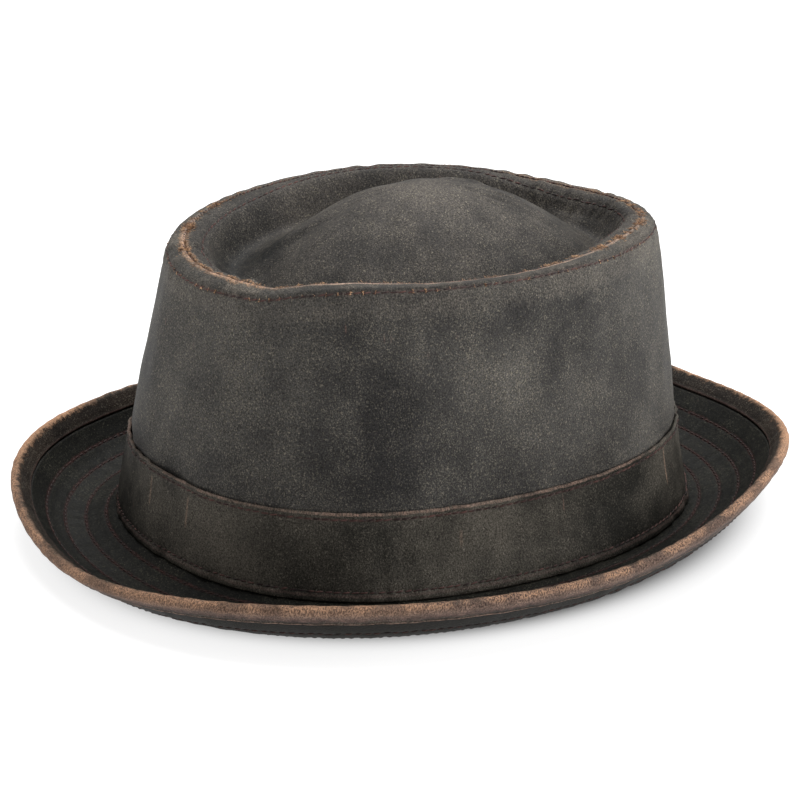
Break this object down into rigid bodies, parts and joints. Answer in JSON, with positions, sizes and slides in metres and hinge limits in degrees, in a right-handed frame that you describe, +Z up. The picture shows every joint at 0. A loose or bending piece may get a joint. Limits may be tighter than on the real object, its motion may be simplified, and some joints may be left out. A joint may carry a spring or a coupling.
{
  "type": "porkpie hat",
  "caption": "Porkpie hat of waxed cotton cloth: tapered crown with a rolled rim and a long dome in its tip, plain band, turned-up stitched brim with a bound edge.",
  "frame": {"origin": "on the table under the middle of the brim's outline", "axes": "+Z up through the crown, +Y from the front of the hat to its back, +X to the wearer's left"},
  "size_m": [0.2366, 0.278, 0.1168],
  "materials": {
    "crown_cloth": "worn waxed cotton, matt with a dull sheen",
    "tip_cloth": "worn waxed cotton, matt with a dull sheen",
    "band_cloth": "worn waxed cotton, darker, folded edges rubbed",
    "brim_cloth": "waxed cotton in stitched rows, dark",
    "binding_cloth": "bias strip of waxed cotton, edge rubbed to tan"
  },
  "bodies": {
    "root": {"crown_side": "crown_cloth", "crown_tip": "tip_cloth", "hat_band": "band_cloth", "brim": "brim_cloth", "brim_binding": "binding_cloth"}
  },
  "joints": []
}
